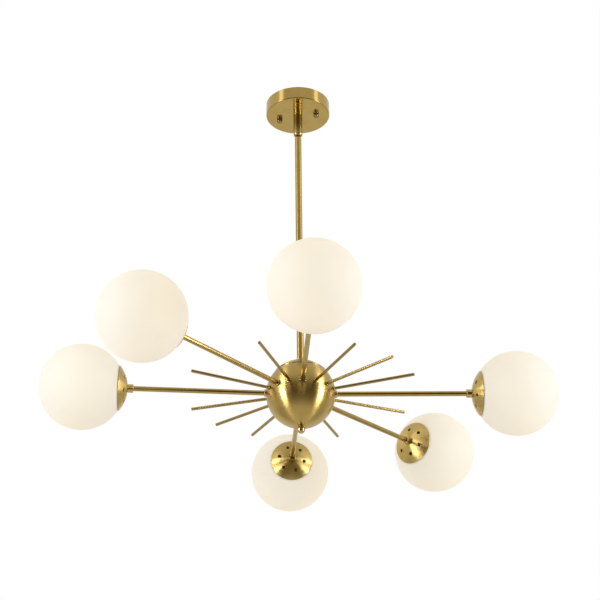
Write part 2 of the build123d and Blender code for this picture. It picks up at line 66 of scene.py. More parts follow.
# Turn of each lamp about its own arm, in degrees.
LAMP_TURNS = (0.0, 0.0, -18.7, 0.0, 0.0, 0.0)
SPOKE_PLACES = tuple(place for place in range(PLACES) if place not in ARM_PLACES)
# Points round a turned piece, and steps round a small edge.
AROUND = 96
AROUND_SMALL = 48
ARC_STEPS = 4
# Metres: points this near the axis lie on it, and points this near each other are one.
ON_AXIS = 0.00001
WELD = 0.000002
SHARP = math.radians(40)
NEARLY = 0.99
# Most noise lies between these values.
BLOTCH_ENDS = (0.35, 0.65)
NOISE_ENDS = (0.3, 0.7)
WHITE = (1.0, 1.0, 1.0)


def span(node, axis):
    """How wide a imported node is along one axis."""
    low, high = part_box(node)
    return high[axis] - low[axis]


def length(label, note, default):
    """A size in metres that a user may change."""
    return bpy.props.FloatProperty(
        name=label, description=note, default=default, precision=4, unit="LENGTH"
    )


def tone(label, note, default):
    """A colour that a user may change."""
    return bpy.props.FloatVectorProperty(
        name=label, description=note, default=default, size=3, min=0.0, max=1.0, subtype="COLOR"
    )


def turning(label, note, degrees):
    """An angle that a user may change."""
    return bpy.props.FloatProperty(
        name=label, description=note, default=math.radians(degrees), subtype="ANGLE"
    )


def share(label, note, default):
    """A plain number that a user may change."""
    return bpy.props.FloatProperty(name=label, description=note, default=default, precision=3)


class ChandelierSizes(bpy.types.PropertyGroup):
    """Sizes of the pieces that are made here"""

    drop: length("Drop", "Ceiling to the middle of the hub", 0.613)
    rise: turning("Rise", "How far the arms tip up", 1.2)
    hub_diameter: length("Hub", "Diameter of the ball hub", 0.122)
    collar_edge: length("Ring edge", "Rounding of the trim rings", 0.0005)
    spoke_diameter: length("Spoke", "Diameter of a spoke", 0.0055)
    spoke_start: length("Spoke start", "Inner end of a spoke, from the hub's middle", 0.0521)
    spoke_reach: length("Spoke reach", "Outer end of a spoke, from the hub's middle", 0.207)
    spoke_edge: length("Spoke edge", "Rounding of the spoke's cut end", 0.0006)
    spoke_ring: length("Spoke ring", "Diameter of the trim ring of a spoke", 0.0085)
    spoke_ring_length: length("Spoke ring length", "How far that ring stands off the hub", 0.0023)
    arm_diameter: length("Arm", "Diameter of an arm tube", 0.009)
    arm_wall: length("Arm wall", "Wall of an arm tube", 0.001)
    arm_start: length("Arm start", "Inner end of an arm, from the hub's middle", 0.0510)
    arm_ring: length("Arm ring", "Diameter of the trim ring of an arm", 0.013)
    arm_ring_length: length("Arm ring length", "How far that ring stands off the hub", 0.003)
    hole_clearance: length("Hole clearance", "Room round a rod in its hole", 0.0001)
    globe_reach: length("Globe reach", "Hub's middle to the globe's middle", 0.382)
    globe_diameter: length("Globe", "Diameter of an opal globe", span("globe_1", 1))
    globe_wall: length("Globe wall", "Thickness of the glass", 0.0025)
    globe_mouth: length("Globe mouth", "Diameter of the globe's mouth", 0.056)
    globe_lip: length("Globe lip", "Rounding of the ground lip", 0.0008)
    cup_diameter: length("Cup", "Diameter of a cup's rim", span("cup_1", 1))
    cup_depth: length("Cup depth", "Depth of the cup's dome", 0.015)
    cup_wall: length("Cup wall", "Thickness of the cup", 0.0012)
    cup_flat: length("Cup flat", "Diameter of the flat behind the cup", 0.018)
    cup_gap: length("Cup gap", "Room between the rim and the glass", 0.0004)
    cup_bore: length("Cup bore", "Diameter of the hole for the nipple", 0.0102)
    vent_diameter: length("Vent", "Diameter of a vent hole", 0.0062)
    vent_circle: length("Vent circle", "Diameter of the ring of vents", 0.048)
    vent_edge: length("Vent edge", "Chamfer of a vent hole", 0.0003)
    neck_diameter: length("Neck", "Diameter of the coupling", 0.015)
    neck_length: length("Neck length", "Length of the coupling", 0.0105)
    neck_edge: length("Neck edge", "Rounding of the coupling", 0.0008)
    neck_groove: length("Neck groove", "Diameter in the coupling's groove", 0.0126)
    neck_groove_length: length("Neck groove length", "Length of that groove", 0.0009)
    neck_arm_depth: length("Arm in neck", "How deep the arm sits in the coupling", 0.005)
    bulb_diameter: length("Bulb", "Diameter of the bulb's glass", 0.045)
    bulb_end: length("Bulb end", "Hub's middle to the far end of the bulb", 0.401)
    bulb_neck: length("Bulb neck", "Diameter where the glass meets its skirt", 0.028)
    bulb_skirt: length("Bulb skirt", "Diameter of the collar over the base", 0.0288)
    bulb_skirt_at: length("Bulb skirt place", "Hub's middle to the near end of the collar", 0.349)
    bulb_skirt_length: length("Bulb skirt length", "Length of the collar", 0.0033)
    bulb_base: length("Bulb base", "Diameter of the screw base", 0.0264)
    bulb_base_at: length("Bulb base place", "Hub's middle to the near end of the screw base", 0.327)
    bulb_tip: length("Bulb tip", "Diameter of the contact at the tip", 0.007)
    bulb_tip_at: length("Bulb tip place", "Hub's middle to the tip", 0.32255)
    bulb_pitch: length("Bulb thread", "Pitch of the screw base", 0.0036)
    bulb_thread: length("Bulb thread depth", "Depth of the rolled thread", 0.0009)
    nut_bore: length("Nut bore", "Diameter of the hole in a canopy nut", 0.0041)
    nut_hole: length("Nut hole", "Depth of that hole", 0.0048)
    nut_edge: length("Nut edge", "Rounding of a canopy nut's end", 0.0012)
    nut_knurl: length("Nut knurl", "Depth of the grooves round a canopy nut", 0.0003)


class ChandelierFinishes(bpy.types.PropertyGroup):
    """Colours of the finishes"""

    brass: tone("Brass", "Satin brass", (0.47, 0.34, 0.116))
    brass_deep: tone("Deep brass", "Brass where the lacquer is thicker", (0.44, 0.31, 0.098))
    # Lighter than the satin brass: painted light for the brighter surroundings that the cups mirror.
    cup: tone("Cup brass", "Satin brass of the cups", (0.53, 0.39, 0.14))
    polish: tone("Polish", "Polished brass", (0.52, 0.40, 0.17))
    # Darker copies of the satin brass for the tubes and spokes, as painted shade; their deep tones are
    # for random patches.
    tube: tone("Tube brass", "Brass of the downrod, swivel and arms", (0.42, 0.305, 0.105))
    tube_deep: tone("Deep tube brass", "The same where the lacquer is thicker", (0.38, 0.27, 0.09))
    spoke: tone("Spoke brass", "Brass rod of the spokes", (0.36, 0.265, 0.10))
    spoke_deep: tone("Deep spoke brass", "The same where the lacquer is thicker", (0.33, 0.235, 0.085))
    # A darker copy of the brass for the canopy's nuts, as painted shade for the dark reflections of
    # their polished ends; its deep tone is for random patches.
    aged: tone("Aged brass", "Darkened brass of the canopy's nuts", (0.27, 0.20, 0.095))
    shaded_nut_deep: tone("Deep aged brass", "The same where it is darkest", (0.20, 0.145, 0.065))
    opal: tone("Opal", "Opal glass by daylight", (0.93, 0.92, 0.90))
    # Painted glow of the opal globes, in place of the light of the bulbs inside; the bulbs share its
    # colour for their own faint glow.
    glow: tone("Glow", "Light of the bulb through the opal glass", (1.0, 0.78, 0.38))
    glow_strength: share("Glow strength", "How bright the globes shine", 0.335)
    bulb: tone("Bulb", "Frosted bulb glass", (0.95, 0.94, 0.90))
    steel: tone("Steel", "Zinc-plated steel", (0.62, 0.62, 0.60))
    # Nearly black: partly the springs' real blued finish, partly painted shade inside the cups, seen
    # through the vents.
    blued: tone("Blued steel", "Heat-blued steel of the springs", (0.045, 0.04, 0.04))
    porcelain: tone("Porcelain", "Glazed lampholder", (0.86, 0.85, 0.81))
    nylon: tone("Nylon", "Swivel bush", (0.78, 0.76, 0.70))
    sleeve: tone("Sleeve", "Sleeve of the leads", (0.62, 0.60, 0.56))
    black_glass: tone("Black glass", "Insulator at the bulb's tip", (0.02, 0.02, 0.022))


class ChandelierStage(bpy.types.PropertyGroup):
    """Camera, floor and light"""

    lens: bpy.props.FloatProperty(
        name="Lens",
        description="Focal length on a 36 mm sensor",
        default=98.739,
        subtype="DISTANCE_CAMERA",
    )
    eye: bpy.props.FloatVectorProperty(
        name="Eye",
        description="Where the camera stands",
        default=(-0.1578, -2.6152, -1.8279),
        size=3,
        subtype="TRANSLATION",
        unit="LENGTH",
    )
    yaw: turning("Yaw", "Turn to the right", 3.461)
    pitch: turning("Pitch", "Tip upwards", 28.157)
    roll: turning("Roll", "Lean", -0.609)
    floor_depth: length("Floor", "Ceiling to floor", 2.75)
    floor_radius: length("Floor radius", "Radius of the pale floor", 1.3)
    ambient: share("Ambient", "Soft light from all round", 0.60)
    ambient_tone: tone("Ambient colour", "Colour of that light", (1.0, 0.97, 0.92))
    surround: tone("Surround", "Studio walls as the brass mirrors them", (0.88, 0.85, 0.77))
    front: tone("Front", "Dark side of the studio, behind the camera", (0.10, 0.07, 0.025))
    left_angle: turning("Left lamps", "Where the left lamps stand, from the front", -64.5)
    right_angle: turning("Right lamps", "Where the right lamps stand, from the front", 66.5)
    strip_width: length("Strip width", "Width of a strip light", 0.44)
    strip_height: length("Strip height", "Height of a bright strip light", 1.35)
    strip_away: length("Strip distance", "Hub's middle to a bright strip", 1.6)
    strip_glow: share("Strip light", "Brightness of a bright strip", 13.5)
    tall_height: length("Tall strip height", "Height of the weak strip behind it", 3.1)
    tall_away: length("Tall strip distance", "Hub's middle to a weak strip", 1.7)
    tall_glow: share("Tall strip light", "Brightness of the weak strip", 1.5)
    high_height: length("High strip height", "Height of the strip above the bright one", 1.6)
    high_away: length("High strip distance", "Level distance from the hub to a high strip", 1.65)
    high_glow: share("High strip light", "Brightness of the high strip", 1.15)
    soft_size: length("Soft light size", "Side of a soft light for the globes", 1.2)
    soft_away: length("Soft light distance", "Hub's middle to a soft light", 2.0)
    soft_glow: share("Soft light", "Brightness of a soft light", 1.9)
    soft_tone: tone("Soft light colour", "Daylight on the globes", (0.58, 0.74, 1.0))


def rounded(corners, closed=False):
    """Outline points from corners of radius, height and rounding."""
    points = []
    count = len(corners)
    for index, (radius, height, rounding) in enumerate(corners):
        at_end = not closed and index in (0, count - 1)
        here = Vector((radius, height))
        if rounding == 0 or at_end:
            points.append(here)
            continue
        back = (Vector(corners[index - 1][:2]) - here).normalized()
        ahead = (Vector(corners[(index + 1) % count][:2]) - here).normalized()
        half = back.angle(ahead) / 2
        reach = rounding / math.tan(half)
        centre = here + (back + ahead).normalized() * rounding / math.sin(half)
        start = here + back * reach - centre
        sweep = start.angle_signed(here + ahead * reach - centre)
        for step in range(ARC_STEPS + 1):
            points.append(centre + Matrix.Rotation(-sweep * step / ARC_STEPS, 2) @ start)
    return points


def arc(centre, radius, start, end, steps):
    """Outline points on a circle about the axis, by angle from the axis."""
    angles = [start + (end - start) * step / steps for step in range(steps + 1)]
    return [Vector((radius * math.sin(a), centre + radius * math.cos(a))) for a in angles]


def turn(name, outline, closed=False, around=AROUND, shift=None):
    """A mesh turned round Z from points of radius and height."""
    shaper = bmesh.new()
    rings = []
    for radius, height in outline:
        if radius < ON_AXIS:
            rings.append([shaper.verts.new((0, 0, height))] * around)
            continue
        ring = []
        for step in range(around):
            angle = math.tau * step / around
            reach = radius + (shift(radius, height, angle) if shift else 0)
            ring.append(shaper.verts.new((reach * math.cos(angle), reach * math.sin(angle), height)))
        rings.append(ring)
    following = rings[1:] + (rings[:1] if closed else [])
    for low, high in zip(rings, following):
        skin_between(shaper, low, high)
    return finished_mesh(name, shaper)


def lathe(name, corners, closed=False):
    """A small turned mesh from corners of radius, height and rounding."""
    return turn(name, rounded(corners, closed), closed, AROUND_SMALL)


def skin_between(shaper, low, high):
    """Faces between two rings of as many points."""
    for step in range(len(low)):
        after = (step + 1) % len(low)
        corners = []
        for vertex in (low[step], low[after], high[after], high[step]):
            if vertex not in corners:
                corners.append(vertex)
        if len(corners) > 2:
            shaper.faces.new(corners)


def finished_mesh(name, shaper):
    """A smooth mesh whose sharp corners stay sharp."""
    bmesh.ops.remove_doubles(shaper, verts=shaper.verts, dist=WELD)
    bmesh.ops.recalc_face_normals(shaper, faces=shaper.faces)
    for face in shaper.faces:
        face.smooth = True
    for edge in shaper.edges:
        edge.smooth = edge.calc_face_angle(0) < SHARP
    mesh = bpy.data.meshes.new(name)
    shaper.to_mesh(mesh)
    shaper.free()
    return mesh


def paint(mesh, rule):
    """Give each face the number of its finish, by the place of its middle."""
    for face in mesh.polygons:
        face.material_index = rule(face.center)
    return mesh


def arm_frame(sizes, place, twist=0.0):
    """The frame of one hub place: +Z out along the arm, from the hub's centre."""
    centre = Matrix.Translation((0, 0, -sizes.drop))
    heading = Matrix.Rotation(math.tau * place / PLACES, 4, "Z")
    lean = Matrix.Rotation(math.pi / 2 - sizes.rise, 4, "Y")
    return centre @ heading @ lean @ Matrix.Rotation(math.radians(twist), 4, "Z")


def arm_frames(sizes):
    """The frames of the six lamp arms, by number."""
    turns = zip(ARM_PLACES, LAMP_TURNS)
    return [(number, arm_frame(sizes, place, twist)) for number, (place, twist) in enumerate(turns, 1)]


def put(name, mesh, coats, where, body, slot, *nodes):
    """One piece with its finishes, in its place on its body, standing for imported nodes."""
    piece = bpy.data.objects.new(name, mesh)
    bpy.context.scene.collection.objects.link(piece)
    piece.matrix_world = where
    if not mesh.materials:
        for coat in coats:
            mesh.materials.append(finish(coat))
    flats = piece.modifiers.new("even_flats", "WEIGHTED_NORMAL")
    flats.keep_sharp = True
    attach(piece, body)
    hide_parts(*nodes)
    return piece


def dress(coat, *nodes):
    """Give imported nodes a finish."""
    for node in nodes:
        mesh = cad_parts[node].data
        mesh.materials.clear()
        mesh.materials.append(finish(coat))


def lamp_places(sizes):
    """Distances along an arm that the lamp pieces share."""
    globe = sizes.globe_diameter / 2
    rim = sizes.cup_diameter / 2
    dome = (rim ** 2 + sizes.cup_depth ** 2) / (2 * sizes.cup_depth)
    inside = dome - sizes.cup_wall
    rim_inside = math.sqrt(inside ** 2 - (dome - sizes.cup_depth) ** 2)
    rim_at = sizes.globe_reach - math.sqrt(globe ** 2 - rim_inside ** 2) - sizes.cup_gap
    dome_at = rim_at - sizes.cup_depth + dome
    flat_at = dome_at - math.sqrt(dome ** 2 - (sizes.cup_flat / 2) ** 2)
    neck_at = flat_at - sizes.neck_length
    return SimpleNamespace(
        dome=dome, inside=inside, rim_inside=rim_inside, rim_at=rim_at, dome_at=dome_at,
        flat_at=flat_at, neck_at=neck_at, arm_end=neck_at + sizes.neck_arm_depth,
    )


def add(tree, kind, inputs=None, **settings):
    """One shader node with its settings, and its inputs set or linked."""
    node = tree.nodes.new(kind)
    for key, value in settings.items():
        setattr(node, key, value)
    for socket, value in (inputs or {}).items():
        if isinstance(value, bpy.types.NodeSocket):
            tree.links.new(value, node.inputs[socket])
        else:
            node.inputs[socket].default_value = value
    return node


def wire(tree, node, sources):
    """Links into a node, by the name of the input."""
    for socket, source in sources.items():
        tree.links.new(source, node.inputs[socket])


def new_finish(name, sockets):
    """A new material, its node tree and its shader with fixed values set."""
    material = bpy.data.materials.new(name)
    material.use_nodes = True
    tree = material.node_tree
    shader = tree.nodes["Principled BSDF"]
    for socket, value in sockets.items():
        shader.inputs[socket].default_value = value
    return material, tree, shader


def rgba(colour):
    """A colour with full cover."""
    return (*colour, 1.0)


def darker(colour, part):
    """A colour with each channel cut to a part."""
    return [channel * part for channel in colour]


def combine(tree, operation, first, second):
    """Two values put together."""
    return add(tree, "ShaderNodeMath", {0: first, 1: second}, operation=operation).outputs[0]


def blend(tree, part, first, second):
    """A colour between two, by a part from nought to one."""
    inputs = {0: part, 6: first, 7: second}
    return add(tree, "ShaderNodeMix", inputs, data_type="RGBA").outputs[2]


def own_place(tree):
    """Coordinates on the piece itself."""
    return add(tree, "ShaderNodeTexCoord").outputs["Object"]


def noise(tree, place, scale, detail=2.0):
    """Soft noise, with so many spots to the metre."""
    inputs = {"Vector": place, "Scale": scale, "Detail": detail}
    return add(tree, "ShaderNodeTexNoise", inputs).outputs["Fac"]


def blotches(tree, place, scale, first, second):
    """Soft colour change between two tones."""
    ramp = add(tree, "ShaderNodeValToRGB", {"Fac": noise(tree, place, scale, detail=3.0)})
    for element, position, colour in zip(ramp.color_ramp.elements, BLOTCH_ENDS, (first, second)):
        element.position = position
        element.color = rgba(colour)
    return ramp.outputs["Color"]


def grey_steps(node, stops):
    """Grey steps along a colour ramp."""
    elements = node.color_ramp.elements
    while len(elements) < len(stops):
        elements.new(0.5)
    for element, (position, grey) in zip(elements, stops):
        element.position = position
        element.color = rgba((grey, grey, grey))


def between(tree, value, low, high):
    """A noise value spread over a range."""
    start, end = NOISE_ENDS
    inputs = {"Value": value, "From Min": start, "From Max": end, "To Min": low, "To Max": high}
    return add(tree, "ShaderNodeMapRange", inputs).outputs["Result"]


def bump(tree, height, strength, distance):
    """A fine relief from a noise value."""
    inputs = {"Height": height, "Strength": strength, "Distance": distance}
    return add(tree, "ShaderNodeBump", inputs).outputs["Normal"]


def turned_brass(name, first, second, patches, grain, smooth, rough):
    """Satin brass brushed on a lathe, in rings round the piece's own Z axis."""
    fixed = {"Metallic": 1.0, "Anisotropic": grain, "Anisotropic Rotation": 0.25}
    material, tree, shader = new_finish(name, fixed)
    place = own_place(tree)
    level = add(tree, "ShaderNodeVectorMath", {0: place, 1: (1.0, 1.0, 0.0)}, operation="MULTIPLY")
    radius = add(tree, "ShaderNodeVectorMath", {0: level.outputs[0]}, operation="LENGTH")
    height = add(tree, "ShaderNodeSeparateXYZ", {0: place}).outputs["Z"]
    ring = add(tree, "ShaderNodeCombineXYZ", {"X": radius.outputs["Value"], "Y": height}).outputs[0]
    fine = noise(tree, ring, scale=1900.0, detail=3.0)
    broad = noise(tree, ring, scale=260.0)
    tangent = add(tree, "ShaderNodeTangent", direction_type="RADIAL", axis="Z")
    wire(tree, shader, {
        "Base Color": blotches(tree, place, patches, first, second),
        "Roughness": between(tree, broad, smooth, rough),
        "Normal": bump(tree, fine, strength=0.06, distance=0.00001),
        "Tangent": tangent.outputs["Tangent"],
    })
    return material


def drawn_brass(name, first, second, smooth, rough):
    """Brass tube or rod, with faint lines along the piece's own Z axis."""
    material, tree, shader = new_finish(name, {"Metallic": 1.0})
    place = own_place(tree)
    stretched = add(tree, "ShaderNodeMapping", {"Vector": place, "Scale": (1.0, 1.0, 0.015)})
    lines = noise(tree, stretched.outputs[0], scale=1500.0)
    wire(tree, shader, {
        "Base Color": blotches(tree, place, 60.0, first, second),
        "Roughness": between(tree, lines, smooth, rough),
        "Normal": bump(tree, lines, strength=0.05, distance=0.00001),
    })
    return material


def polished_brass(name, first, second, smooth, rough):
    """Polished brass of the small turned parts."""
    material, tree, shader = new_finish(name, {"Metallic": 1.0})
    place = own_place(tree)
    scuffs = noise(tree, place, scale=700.0, detail=4.0)
    wire(tree, shader, {
        "Base Color": blotches(tree, place, 150.0, first, second),
        "Roughness": between(tree, scuffs, smooth, rough),
    })
    return material


def opal_shade(name, tones):
    """Satin opal glass with a painted glow that stands for the bulb's light, weaker near the mouth and
    none under the cup as painted shade of the lampholder and cup.
    """
    fixed = {"Emission Color": rgba(tones.glow), "Specular IOR Level": 0.05, "IOR": 1.5}
    material, tree, shader = new_finish(name, fixed)
    place = own_place(tree)
    cloud = noise(tree, place, scale=14.0)
    # Painted glow in place of the bulb's light, with a little random change.
    painted_glow = between(tree, cloud, tones.glow_strength * 0.95, tones.glow_strength * 1.05)
    # Painted shade: the glow falls away towards the mouth and is gone under the cup.
    along = add(tree, "ShaderNodeSeparateXYZ", {0: place}).outputs["Z"]
    cup_side = {"Value": along, "From Min": 0.312, "From Max": 0.412}
    reach = add(tree, "ShaderNodeMapRange", cup_side)
    holder_and_cup_shade = add(tree, "ShaderNodeValToRGB", {"Fac": reach.outputs["Result"]})
    grey_steps(holder_and_cup_shade, ((0.055, 0.0), (0.08, 0.8), (0.8, 1.0)))
    etch = noise(tree, place, scale=2600.0)
    wire(tree, shader, {
        "Base Color": blotches(tree, place, 18.0, tones.opal, darker(tones.opal, 0.97)),
        "Emission Strength": combine(tree, "MULTIPLY", painted_glow, holder_and_cup_shade.outputs["Color"]),
        "Roughness": between(tree, etch, 0.52, 0.62),
        "Normal": bump(tree, etch, strength=0.04, distance=0.00003),
    })
    return material


def frosted_bulb(name, tones):
    """Frosted bulb glass with a faint glow."""
    fixed = {"Emission Color": rgba(tones.glow), "Emission Strength": 0.02}
    material, tree, shader = new_finish(name, fixed)
    place = own_place(tree)
    frost = noise(tree, place, scale=3000.0)
    wire(tree, shader, {
        "Base Color": blotches(tree, place, 40.0, tones.bulb, darker(tones.bulb, 0.94)),
        "Roughness": between(tree, frost, 0.35, 0.5),
    })
    return material


def steel(name, colour):
    """Plated or blued steel of the parts that stay hidden in use; the blued steel is nearly black,
    partly as painted shade.
    """
    material, tree, shader = new_finish(name, {"Metallic": 1.0})
    place = own_place(tree)
    spangle = noise(tree, place, scale=500.0, detail=4.0)
    wire(tree, shader, {
        "Base Color": blotches(tree, place, 220.0, colour, darker(colour, 0.8)),
        "Roughness": between(tree, spangle, 0.28, 0.42),
        "Normal": bump(tree, spangle, strength=0.05, distance=0.0001),
    })
    return material


def moulded(name, colour, roughness, grain):
    """A moulded or glazed surface with a fine texture."""
    material, tree, shader = new_finish(name, {"IOR": 1.5})
    place = own_place(tree)
    texture = noise(tree, place, scale=grain, detail=3.0)
    wire(tree, shader, {
        "Base Color": blotches(tree, place, 90.0, colour, darker(colour, 0.93)),
        "Roughness": between(tree, texture, roughness * 0.8, roughness * 1.2),
        "Normal": bump(tree, texture, strength=0.08, distance=0.00008),
    })
    return material


def finish(name):
    """One of the finishes, made when it is first needed."""
    tones = bpy.context.scene.chandelier_finishes
    satin = {"first": tones.brass, "second": tones.brass_deep, "patches": 45.0}
    cup = {"first": tones.cup, "second": tones.brass, "patches": 240.0}
    tube = {"first": tones.tube, "second": tones.tube_deep}
    spoke = {"first": tones.spoke, "second": tones.spoke_deep}
    polish = {"first": tones.polish, "second": tones.brass}
    aged = {"first": tones.aged, "second": tones.shaded_nut_deep}
    makers = {
        "brushed_brass": partial(turned_brass, **satin, grain=0.9, smooth=0.27, rough=0.32),
        "spun_brass": partial(turned_brass, **satin, grain=0.3, smooth=0.14, rough=0.19),
        "cup_brass": partial(turned_brass, **cup, grain=0.9, smooth=0.31, rough=0.37),
        "drawn_brass": partial(drawn_brass, **tube, smooth=0.16, rough=0.20),
        "spoke_brass": partial(drawn_brass, **spoke, smooth=0.17, rough=0.21),
        "polished_brass": partial(polished_brass, **polish, smooth=0.13, rough=0.17),
        "sleeve_brass": partial(polished_brass, **tube, smooth=0.27, rough=0.33),
        # Darker brass of the canopy's nuts, as painted shade.
        "aged_brass": partial(polished_brass, **aged, smooth=0.25, rough=0.32),
        "opal_shade": partial(opal_shade, tones=tones),
        "opal_inside": partial(moulded, colour=tones.opal, roughness=0.3, grain=300.0),
        "frosted_bulb": partial(frosted_bulb, tones=tones),
        "black_glass": partial(moulded, colour=tones.black_glass, roughness=0.12, grain=500.0),
        "plated_steel": partial(steel, colour=tones.steel),
        "blued_steel": partial(steel, colour=tones.blued),
        "porcelain": partial(moulded, colour=tones.porcelain, roughness=0.25, grain=400.0),
        "nylon": partial(moulded, colour=tones.nylon, roughness=0.45, grain=900.0),
        "lead_sleeve": partial(moulded, colour=tones.sleeve, roughness=0.5, grain=1200.0),
    }
    return bpy.data.materials.get(name) or makers[name](name)


class CHANDELIER_OT_hub(bpy.types.Operator):
    """The ball hub with its cap, and the finial under it"""

    bl_idname = "chandelier.hub"
    bl_label = "Hub and finial"

    def execute(self, context):
        dress("brushed_brass", "hub_shell", "hub_cap")
        dress("polished_brass", "finial", "finial_washer")
        dress("plated_steel", "finial_stud", "hub_nipple", "hub_yoke")
        dress("plated_steel", "hub_nuts", "arm_nuts", "spoke_nuts")
        dress("nylon", "hub_terminal")
        dress("lead_sleeve", "hub_wiring")
        return {"FINISHED"}


class CHANDELIER_OT_stem(bpy.types.Operator):
    """The canopy, its fixings, the swivel and the downrod"""

    bl_idname = "chandelier.stem"
    bl_label = "Canopy and downrod"

    ridges = 24
    ridge_points = 6

    def execute(self, context):
        dress("spun_brass", "canopy")
        dress("drawn_brass", "downrod", "swivel_ball")
        dress("sleeve_brass", "swivel_housing")
        dress("polished_brass", "downrod_collar", "canopy_washer_1", "canopy_washer_2")
        for number in (1, 2):
            self.knurled_nut(context.scene.chandelier_sizes, number)
        dress("plated_steel", "ceiling_bar", "canopy_studs", "stem_nut", "swivel_nipple")
        dress("nylon", "swivel_seat", "ceiling_terminal")
        dress("lead_sleeve", "ceiling_lead")
        return {"FINISHED"}

    def knurled_nut(self, sizes, number):
        """A round cap nut with grooves along its side for the fingers."""
        low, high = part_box(f"canopy_nut_{number}")
        middle = (low + high) / 2
        radius = (high.x - low.x) / 2
        height = high.z - low.z
        edge = sizes.nut_edge
        bore = sizes.nut_bore / 2

        def grooves(reach, level, angle):
            on_side = reach > radius * NEARLY and -height + edge < level < -edge * 0.5
            return -sizes.nut_knurl * abs(math.sin(angle * self.ridges / 2)) if on_side else 0.0

        outline = rounded([
            (0, -sizes.nut_hole, 0),
            (bore, -sizes.nut_hole, 0),
            (bore, 0, edge / 4),
            (radius, 0, edge / 4),
            (radius, -edge * 0.6, 0),
            (radius, -height + edge * 1.1, 0),
            (radius, -height, edge),
            (0, -height, 0),
        ])
        name = f"knurled_nut_{number}"
        node = f"canopy_nut_{number}"
        nut = turn(name, outline, around=self.ridges * self.ridge_points, shift=grooves)
        where = Matrix.Translation((middle.x, middle.y, high.z))
        put(name, nut, ["aged_brass"], where, node, "bright_brass", node)


class CHANDELIER_OT_spokes(bpy.types.Operator):
    """Ten bare spokes and the trim rings of the spokes and arms"""

    bl_idname = "chandelier.spokes"
    bl_label = "Spokes and trim rings"

    def execute(self, context):
        sizes = context.scene.chandelier_sizes
        radius = sizes.spoke_diameter / 2
        rod = lathe("spoke_rod", [
            (0, sizes.spoke_start, 0),
            (radius, sizes.spoke_start, sizes.spoke_edge),
            (radius, sizes.spoke_reach, sizes.spoke_edge),
            (0, sizes.spoke_reach, 0),
        ])
        spoke_ring = self.ring(
            sizes, "spoke_ring", sizes.spoke_diameter, sizes.spoke_ring, sizes.spoke_ring_length
        )
        arm_ring = self.ring(
            sizes, "arm_ring", sizes.arm_diameter, sizes.arm_ring, sizes.arm_ring_length
        )
        trim = ("fixture", "bright_brass", "hub_collars")
        for number, place in enumerate(SPOKE_PLACES, 1):
            where = arm_frame(sizes, place)
            put(f"spoke_rod_{number}", rod, ["spoke_brass"], where, "fixture", "bright_brass", "spokes")
            put(f"spoke_ring_{number}", spoke_ring, ["polished_brass"], where, *trim)
        for number, where in arm_frames(sizes):
            put(f"arm_ring_{number}", arm_ring, ["polished_brass"], where, *trim)
        return {"FINISHED"}

    def ring(self, sizes, name, rod, wide, stands):
        """A trim ring whose inner face is hollowed to seat on the ball of the hub."""
        hub = sizes.hub_diameter / 2
        outside = wide / 2
        hole = rod / 2 + sizes.hole_clearance
        top = hub + stands
        corners = [
            (hole, math.sqrt(hub ** 2 - hole ** 2), 0),
            (outside, math.sqrt(hub ** 2 - outside ** 2), 0),
            (outside, top, sizes.collar_edge),
            (hole, top, sizes.collar_edge / 2),
        ]
        return lathe(name, corners, closed=True)


class CHANDELIER_OT_arms(bpy.types.Operator):
    """Six arm tubes and the turned couplings at their ends"""

    bl_idname = "chandelier.arms"
    bl_label = "Arms and couplings"

    def execute(self, context):
        sizes = context.scene.chandelier_sizes
        lamp = lamp_places(sizes)
        radius = sizes.arm_diameter / 2
        bore = radius - sizes.arm_wall
        edge = sizes.arm_wall * 0.3
        corners = [
            (bore, sizes.arm_start, edge),
            (radius, sizes.arm_start, edge),
            (radius, lamp.arm_end, edge),
            (bore, lamp.arm_end, edge),
        ]
        tube = lathe("arm_tube", corners, closed=True)
        coupling = self.coupling(sizes, lamp)
        for number, where in arm_frames(sizes):
            on_arm = (where, "fixture", "bright_brass")
            put(f"arm_tube_{number}", tube, ["drawn_brass"], *on_arm, f"arm_{number}")
            put(f"neck_coupling_{number}", coupling, ["polished_brass"], *on_arm, "neck_couplings")
        return {"FINISHED"}

    def coupling(self, sizes, lamp):
        """A turned sleeve with a groove beside the cup."""
        outside = sizes.neck_diameter / 2
        groove = sizes.neck_groove / 2
        edge = sizes.neck_edge
        arm = sizes.arm_diameter / 2 + sizes.hole_clearance / 2
        nipple = sizes.cup_bore / 2
        shoulder = lamp.flat_at - sizes.neck_groove_length
        corners = [
            (arm, lamp.neck_at, edge / 4),
            (outside, lamp.neck_at, edge),
            (outside, shoulder, edge / 2),
            (groove, shoulder, 0),
            (groove, lamp.flat_at, 0),
            (nipple, lamp.flat_at, 0),
            (nipple, lamp.arm_end, 0),
            (arm, lamp.arm_end, 0),
        ]
        return lathe("neck_coupling", corners, closed=True)


